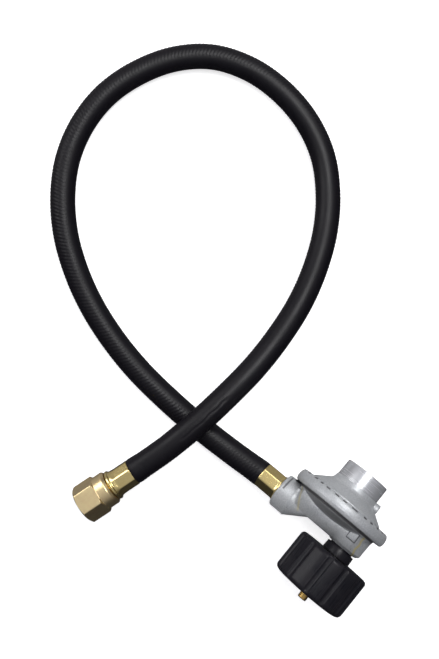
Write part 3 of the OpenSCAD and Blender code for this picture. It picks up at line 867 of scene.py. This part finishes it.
def add_hand_nut():
    """The black nut that goes on the cylinder's valve: a fluted grip and a trapezoidal thread."""
    outline = filled(rounded([
        (7.5, -25.3, 0.2), (24.2, -25.3, 2.4), (24.2, -52.5, 3), (17.2, -52.5, 0.5),
        (14.56, -49.9), (14.56, -30.5, 0.4), (7.5, -30.5)
    ], steps=8), 0.45 * MM)

    def reshape(r, z, angle):
        if r > NUT_SKIN_R:
            return min(r, r - NUT_R + flute_radius(z, angle))
        if abs(r - TANK_THREAD_R) < 0.02 * MM and z < TANK_THREAD_TOP:
            ends = smoothstep(NUT_BOTTOM + 2.4 * MM, NUT_BOTTOM + 3.4 * MM, z)
            ends *= 1 - smoothstep(TANK_THREAD_TOP - 1.5 * MM, TANK_THREAD_TOP, z)
            return thread_radius(z, angle, r, TANK_THREAD_PITCH, TANK_THREAD_DEPTH * ends)
        return r

    add_piece("hand_nut_grip", revolved(outline, 360, reshape), "hand_nut", [PLASTIC], INLET,
              ["hand_nut"], crease=40)


def add_bushing():
    """The collar behind the hand nut, which lets go of it in a fire."""
    mesh = revolved(rounded([
        (6.25, -18.7), (7.7, -18.7, 0.3), (7.7, -19.5, 0.2), (9.3, -19.5, 0.5), (9.55, -24.9, 0.3),
        (7.42, -24.9), (7.42, -31.3), (6.25, -31.3)
    ]), steps=96)
    add_piece("thermal_sleeve", mesh, "regulator", [PLASTIC], INLET, ["thermal_bushing"])


def add_nipple():
    """The brass nipple inside the hand nut, with its seal's groove, its probe and its gas way."""
    mesh = revolved(rounded([
        (3.2, -11.3), (6.5, -11.3), (6.5, -18.7), (6.2, -18.7), (6.2, -31.4), (9.4, -31.4),
        (9.4, -34.4, 0.6), (6.3, -34.4, 0.3), (6.3, -41.4, 0.15), (5.4, -41.4), (5.4, -43.6),
        (6.3, -43.6, 0.15), (6.3, -45.6, 0.8), (3.2, -48.8, 0.6), (2.95, -49.4), (2.85, -57.4, 0.6),
        (1.4, -57.4, 0.2), (1.4, -44), (3.9, -44), (3.9, -26), (2.2, -26), (2.2, -24), (3.2, -22.6)
    ]), steps=72)
    add_piece("nipple_and_probe", mesh, "regulator", [PROBE_BRASS], INLET,
              ["inlet_nipple"])


add_hand_nut()
add_bushing()
add_nipple()

# ---- Crimped ferrules ----

CRIMP_SIDES = 8
CRIMP_EASING = 0.3 * MM     # width over which the ridge between two flats is rounded
FERRULE_SKIN_R = 8 * MM     # points further out than this are on a ferrule's outside
OUTLET_FERRULE_R = 8.6 * MM
OUTLET_CRIMP_TURN = 90.7    # degrees to the middle of one flat
FLARE_FERRULE_R = 8.65 * MM
FLARE_CRIMP_TURN = 175.6
FLARE_CRIMP_END = 12.7 * MM
FLARE_SCALLOP = 0.8 * MM    # how much sooner the crimp ends on the ridges than on the flats


def crimped(r, angle, turn, wide_r, share):
    """A round radius pressed towards an octagon with soft ridges."""
    off = off_nearest(angle, CRIMP_SIDES, radians(turn))
    flat = wide_r * cos(pi / CRIMP_SIDES) / cos(off) + 0.1 * MM
    return r + share * (soft_min(flat, wide_r, CRIMP_EASING) - wide_r)


def add_outlet_ferrule():
    """The ferrule that holds the hose to the regulator, pressed along its whole length."""
    start = OUTLET_REACH + 0.5 * MM

    def reshape(r, z, angle):
        if r < FERRULE_SKIN_R:
            return r
        share = smoothstep(start + 0.2 * MM, start + 1.4 * MM, z)
        share *= 0.75 + 0.25 * smoothstep(FERRULE_REACH, FERRULE_REACH - 0.8 * MM, z)
        return crimped(r, angle, OUTLET_CRIMP_TURN, OUTLET_FERRULE_R, share)

    outline = filled(rounded([
        (5.3, 36.5), (8.6, 36.5, 0.4), (8.6, 50, 0.35), (7.55, 50, 0.2), (7.55, 38.3), (5.3, 38.3)
    ]), 0.5 * MM)
    add_piece("outlet_crimp", revolved(outline, 160, reshape), "regulator", [BRASS], OUTLET,
              ["outlet_ferrule"], crease=50)


def add_flare_ferrule():
    """The ferrule at the far end, pressed up to its round shoulder."""
    def reshape(r, z, angle):
        if r < FERRULE_SKIN_R:
            return r
        off = off_nearest(angle, CRIMP_SIDES, radians(FLARE_CRIMP_TURN))
        end = FLARE_CRIMP_END - FLARE_SCALLOP * (1 - cos(off * CRIMP_SIDES)) / 2
        share = 1 - smoothstep(end - 2.4 * MM, end + 0.4 * MM, z)
        return crimped(r, angle, FLARE_CRIMP_TURN, FLARE_FERRULE_R, share)

    outline = filled(rounded([
        (5.3, 15.5), (5.3, 13.7), (7.55, 13.7), (7.55, 0, 0.2), (8.65, 0, 0.35), (8.65, 13.6, 0.5),
        (9.75, 14, 0.5), (9.75, 15.5, 0.5)
    ]), 0.5 * MM)
    return add_piece("flare_crimp", revolved(outline, 160, reshape), "regulator", [BRASS],
                     FLARE, ["flare_ferrule"], crease=50)


# ---- Flare nut ----

HEX_HALF = 11.1 * MM        # from the axis to a flat
HEX_CORNER = 12.7 * MM
HEX_TURN = 10               # degrees to the middle of one flat
HEX_SKIN_R = 9.9 * MM       # points further out than this are on the outside
COLLAR_END = 23.8 * MM
FLARE_THREAD_R = 7.16 * MM
FLARE_THREAD_PITCH = 1.411 * MM
FLARE_THREAD_DEPTH = 0.62 * MM
FLARE_THREAD_FROM = 27.5 * MM


def add_flare_nut():
    """The swivel nut at the far end: a round collar, a hexagon and a fine thread."""
    def reshape(r, z, angle):
        if r > HEX_SKIN_R and z > COLLAR_END + 0.05 * MM:
            flat = HEX_HALF / cos(off_nearest(angle, 6))
            return min(r, soft_min(flat, HEX_CORNER, 0.25 * MM))
        if r < FLARE_THREAD_R + TINY and z > FLARE_THREAD_FROM:
            ends = smoothstep(FLARE_THREAD_FROM, FLARE_THREAD_FROM + 1 * MM, z)
            return thread_radius(z, angle, r, FLARE_THREAD_PITCH, FLARE_THREAD_DEPTH * ends)
        return r

    outline = filled(rounded([
        (5.28, 16.2), (9.6, 16.2, 0.3), (11, 17.6, 0.8), (11, 23.7, 0.1), (11.1, 23.85, 0.1),
        (12.8, 24.85), (12.8, 37.1), (10.9, 38.2, 0.3), (8.1, 38.2, 0.2), (7.16, 37.3),
        (7.16, 27.5), (7.56, 27.4), (7.56, 20), (5.28, 20)
    ], steps=4), 0.22 * MM)
    turned = FLARE @ Matrix.Rotation(radians(HEX_TURN), 4, "Z")
    return add_piece("flare_swivel_nut", revolved(outline, 240, reshape), "flare_nut", [NUT_BRASS],
                     turned, ["flare_nut"], crease=30)


add_outlet_ferrule()
flare_ferrule = add_flare_ferrule()
flare_nut = add_flare_nut()

# ---- Hose ----

HOSE_R = 8 * MM
SQUEEZED_R = 7.5 * MM
RIB_HEIGHT = 0.24 * MM
RIB_PITCH = 2.3 * MM        # measured along the hose
RIB_TURNS = 0.45            # how far a rib climbs along the hose for a step round it
SMOOTH_BAND = 105           # degrees of the round that carry no ribs, where the print goes
SMOOTH_FIRST = 158          # where the middle of that band lies over the first half of the hose
SMOOTH_LAST = 88            # and over the last quarter: the hose was coiled with a twist
SEAM_OFF = -12              # degrees from the band's middle to the cover's seam line
SEAM_SHOWS = (0.88, 0.938)  # shares of the hose's length between which the seam line shows
SEAM_DEPTH = 0.38 * MM
TWIST_SPAN = (0.5, 0.74)    # shares of its length between which the band moves over
HOSE_FROM = 38.3 * MM       # where the hose starts inside the outlet ferrule, from the tower's axis
HOSE_SIDES = 72
HOSE_RING = 0.45 * MM


def curve_through(points, pieces=24):
    """Points of one smooth curve that passes through the given ones."""
    given = [Vector(p) for p in points]
    padded = [2 * given[0] - given[1], *given, 2 * given[-1] - given[-2]]
    fine = []
    for a, b, c, d in zip(padded, padded[1:], padded[2:], padded[3:]):
        for k in range(pieces):
            t = k / pieces
            fine.append(0.5 * (2 * b + (c - a) * t + (2 * a - 5 * b + 4 * c - d) * t * t
                               + (3 * b - a - 3 * c + d) * t * t * t))
    fine.append(given[-1])
    return fine


def smooth_route(points, step):
    """Points about a step apart on a smooth curve through the given ones, and its length."""
    fine = curve_through(points)
    travelled = travelled_along(fine)
    length = travelled[-1]
    count = round(length / step)
    even = []
    i = 0
    for k in range(count + 1):
        wanted = length * k / count
        while i < len(fine) - 2 and travelled[i + 1] < wanted:
            i += 1
        share = (wanted - travelled[i]) / max(travelled[i + 1] - travelled[i], TINY)
        even.append(fine[i].lerp(fine[i + 1], share))
    return even, length


def smooth_middle(share):
    """Where the middle of the smooth band lies, in degrees, at a share of the hose's length."""
    return SMOOTH_FIRST + (SMOOTH_LAST - SMOOTH_FIRST) * smoothstep(*TWIST_SPAN, share)


def off_smooth_middle(share, angle, shift=0.0):
    """Degrees from the middle of the smooth band, or from a line at a shift from it."""
    return (degrees(angle) - smooth_middle(share) - shift + 180) % 360 - 180


def seam_depth(s, total, angle):
    """The wavering seam line that shows in the smooth band near the flare end."""
    share = s / total
    first, last = SEAM_SHOWS
    shown = smoothstep(first, first + 0.01, share) * (1 - smoothstep(last - 0.01, last, share))
    if shown == 0:
        return 0
    waver = 1.6 * sin(s / (1.9 * MM)) + 1.1 * sin(s / (4.3 * MM) + 1)
    across = radians(abs(off_smooth_middle(share, angle, SEAM_OFF + waver))) * HOSE_R
    return SEAM_DEPTH * shown * (1 - smoothstep(0.15 * MM, 0.75 * MM, across))


def rib_height(s, total, angle):
    """Height of the cover's ribs, which wind round the hose outside the smooth band."""
    away = abs(off_smooth_middle(s / total, angle))
    ribbed = smoothstep(SMOOTH_BAND / 2, SMOOTH_BAND / 2 + 5, away)
    phase = 2 * pi * (s + RIB_TURNS * HOSE_R * angle) / RIB_PITCH
    return RIB_HEIGHT * ribbed * (0.5 + 0.5 * cos(phase)) - 0.05 * MM * ribbed


def bulge_height(from_mouth):
    """How far the hose swells where a ferrule squeezes it out of its mouth."""
    return max(0, 1 - abs(from_mouth - 2.5 * MM) / (6 * MM))


def hose_radius(s, total, angle):
    """Radius at a distance s along the hose: squeezed in the ferrules, ribbed between them."""
    near = FERRULE_REACH - HOSE_FROM
    far = total - (Vector(ROUTE[-1]) - Vector(ROUTE[-2])).length
    free = smoothstep(near - 0.6 * MM, near + 0.8 * MM, s)
    free *= 1 - smoothstep(far - 0.8 * MM, far + 0.6 * MM, s)
    bulge = 0.22 * MM * bulge_height(s - near) + 0.3 * MM * bulge_height(far - s)
    full = HOSE_R - SQUEEZED_R - 0.06 * MM + bulge + rib_height(s, total, angle)
    return SQUEEZED_R + free * (full - seam_depth(s, total, angle))


def hose_ring(mesh, middle, side, up, s, total):
    """One ring of the hose's vertices, round its middle."""
    ring = []
    for k in range(HOSE_SIDES):
        a = 2 * pi * k / HOSE_SIDES
        out = cos(a) * side + sin(a) * up
        ring.append(mesh.verts.new(middle + hose_radius(s, total, a) * out))
    return ring


def hose_mesh(path, total):
    """A closed tube along the path, whose rings turn with it and don't twist."""
    mesh = bmesh.new()
    uv = mesh.loops.layers.uv.new("UVMap")
    side = Vector((0, 0, 1)).cross(path[1] - path[0]).normalized()
    rings = []
    for i, middle in enumerate(path):
        ahead = (path[min(i + 1, len(path) - 1)] - path[max(i - 1, 0)]).normalized()
        side = (side - side.dot(ahead) * ahead).normalized()
        s = total * i / (len(path) - 1)
        rings.append(hose_ring(mesh, middle, side, ahead.cross(side), s, total))
    for i, (here, there) in enumerate(zip(rings, rings[1:])):
        join_rings(mesh, uv, here, there, 2 * pi * HOSE_R, (HOSE_RING * i, HOSE_RING * (i + 1)))
    mesh.faces.new(list(reversed(rings[0])))
    mesh.faces.new(rings[-1])
    bmesh.ops.recalc_face_normals(mesh, faces=mesh.faces)
    return mesh


def add_hose():
    """The hose, a tube that ends in the flare nut."""
    path, total = smooth_route(ROUTE, HOSE_RING)
    hose = add_piece("hose_tube", hose_mesh(path, total), "regulator", [HOSE], None, ["hose"],
                     crease=60)


add_hose()

# ---- Floor and light ----


def glowing(name, tone, roughness, strength):
    """A matt material that gives off white light of its own, so that it stays pale."""
    material, _, shader = new_shader(name, (tone, tone, tone), 0.0, roughness)
    shader.inputs["Emission Color"].default_value = (1, 1, 1, 1)
    shader.inputs["Emission Strength"].default_value = strength
    return material


def add_surround(name, points, faces, material):
    """A part of the studio, which doesn't show in glossy surfaces."""
    data = bpy.data.meshes.new(name)
    data.from_pydata(points, [], faces)
    data.materials.append(material)
    surround = bpy.data.objects.new(name, data)
    bpy.context.scene.collection.objects.link(surround)
    surround.visible_glossy = False
    return surround


def add_floor():
    """The white ground that the part lies on."""
    reach = 6
    points = [(-reach, -reach, 0), (reach, -reach, 0), (reach, reach, 0), (-reach, reach, 0)]
    add_surround("floor", points, [(0, 1, 2, 3)], glowing("floor", 0.8, 0.9, 0.7))


def add_backdrop():
    """Pale walls and ceiling that only the camera sees, for views across the floor."""
    rings = [(5.9, -0.01), (5.9, 3), (4.5, 5), (0.01, 6)]
    sides = 48
    points = [(r * cos(2 * pi * k / sides), r * sin(2 * pi * k / sides), z)
              for r, z in rings for k in range(sides)]
    faces = []
    for i in range(len(rings) - 1):
        for k in range(sides):
            low, high, n = i * sides, (i + 1) * sides, (k + 1) % sides
            faces.append((low + k, low + n, high + n, high + k))
    backdrop = add_surround("backdrop", points, faces, glowing("backdrop", 0.1, 1.0, 0.86))
    backdrop.visible_diffuse = False
    backdrop.visible_shadow = False


# Each light's distance from the middle of the part along the picture's right, along its up and
# towards the camera, then its size and its power
LIGHTS = {
    "key": ((0.2, 0.32, 1.1), (0.5, 0.55), 8),
    "upper_fill": ((0.3, 0.75, 0.85), (0.45, 0.45), 2),
    "left_fill": ((-0.95, 0.6, 0.75), (0.4, 0.8), 3.6),
}


def add_area_light(name, at, target, size, power):
    """A rectangular light that points at a target. Its power is in watts."""
    light = bpy.data.lights.new(name, "AREA")
    light.shape = "RECTANGLE"
    light.size, light.size_y = size
    light.energy = power
    lamp = bpy.data.objects.new(name, light)
    bpy.context.scene.collection.objects.link(lamp)
    aim = (target - at).to_track_quat("-Z", "Y")
    lamp.matrix_world = Matrix.Translation(at) @ aim.to_matrix().to_4x4()


def add_lights():
    """Soft lights, placed by the picture's own directions."""
    right, up, forward = camera_axes()
    middle = Vector((cad_low + cad_high) / 2)
    for name, ((across, along, back), size, power) in LIGHTS.items():
        at = middle - back * forward + along * up + across * right
        add_area_light(name, at, middle, size, power)


def add_world():
    """A studio with a bright ceiling, a pale wall beyond the top of the picture and dark others."""
    right, up, _ = camera_axes()
    world = bpy.data.worlds.new("studio")
    world.use_nodes = True
    tree = world.node_tree
    coordinates = add_node(tree, "ShaderNodeTexCoord")
    parts = add_node(tree, "ShaderNodeSeparateXYZ")
    tree.links.new(coordinates.outputs["Generated"], parts.inputs["Vector"])
    sky = ramp_between(tree, parts.outputs["Z"], (0.045, 0.045, 0.052), (0.56, 0.56, 0.6), 0.2, 0.97)
    wall = add_node(tree, "ShaderNodeVectorMath", operation="DOT_PRODUCT")
    tree.links.new(coordinates.outputs["Generated"], wall.inputs[0])
    wall.inputs[1].default_value = (up - 0.25 * right).normalized()
    pale = ramp_between(tree, wall.outputs["Value"], 0.0, (0.4, 0.39, 0.4), 0.1, 0.8)
    background = tree.nodes["Background"]
    tree.links.new(mixed(tree, 1.0, sky, pale, "ADD"), background.inputs["Color"])
    background.inputs["Strength"].default_value = 0.75
    bpy.context.scene.world = world


add_floor()
add_backdrop()
add_lights()
add_world()
bpy.context.scene.view_settings.view_transform = "Standard"
